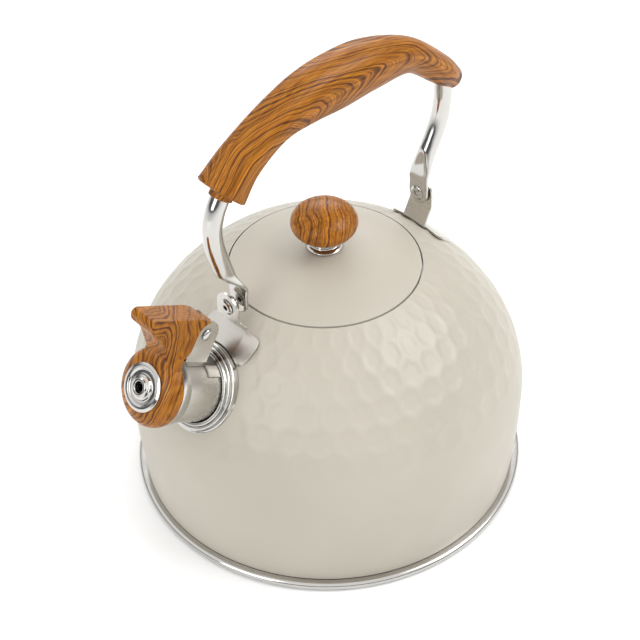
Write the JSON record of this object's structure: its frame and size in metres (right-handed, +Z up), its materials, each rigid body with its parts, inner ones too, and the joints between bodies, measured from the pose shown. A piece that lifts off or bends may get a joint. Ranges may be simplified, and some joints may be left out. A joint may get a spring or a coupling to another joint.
{
  "type": "stovetop whistling kettle",
  "caption": "Domed steel stovetop kettle with an enamelled honeycomb-dimpled pot, wood-look bail handle and knob, and a flip-up whistle cap on a short spout.",
  "frame": {"origin": "centre of the flat underside of the heat capsule, on the hob", "axes": "+Z up, spout towards +X, handle and spout in the XZ plane, which is the plane of symmetry"},
  "size_m": [0.2408, 0.22, 0.2623],
  "materials": {
    "enamel": "warm off-white satin-matt enamel over pressed honeycomb dimples",
    "polished_steel": "mirror-polished stainless steel with fine handling marks",
    "brushed_steel": "satin stainless steel sheet",
    "aluminium": "plain, hidden inside the base capsule",
    "wood_film": "dark phenolic moulding with a semi-gloss zebra-wood film",
    "spring_steel": "bright spring wire"
  },
  "bodies": {
    "pot": {"body_shell": "enamel", "base_pan": "polished_steel", "capsule_cover": "brushed_steel", "heat_disc": "aluminium", "spout_tube": "polished_steel", "spout_collar": "polished_steel", "spout_bracket": "polished_steel", "cap_hinge_pin": "polished_steel", "front_bracket": "brushed_steel", "rear_bracket": "brushed_steel", "front_rivet": "polished_steel", "rear_rivet": "polished_steel", "cap_spring": "spring_steel"},
    "handle": {"front_arm": "polished_steel", "rear_arm": "polished_steel", "grip": "wood_film"},
    "lid": {"lid_shell": "enamel", "lid_collar": "brushed_steel", "knob_ferrule": "polished_steel", "knob": "wood_film", "knob_screw": "brushed_steel"},
    "cap": {"cap_moulding": "wood_film", "cap_liner": "polished_steel", "whistle_bezel": "polished_steel", "whistle_chamber": "polished_steel", "whistle_plate": "brushed_steel"}
  },
  "joints": [
    {"name": "handle_swing", "type": "hinge", "parent": "pot", "child": "handle", "pos_m": [0, 0, 0.147], "axis": [1, 0, 0], "range_deg": [-104, 104]},
    {"name": "lid_lift", "type": "slide", "parent": "pot", "child": "lid", "axis": [0, 0, 1], "range_m": [0, 0.045]},
    {"name": "cap_hinge", "type": "hinge", "parent": "pot", "child": "cap", "pos_m": [0.08618, 0, 0.1444], "axis": [0, -1, 0], "range_deg": [0, 55], "stiffness_Nm_per_rad": 0.05, "springref_deg": -22.92, "deforming": ["cap_spring"]}
  ]
}
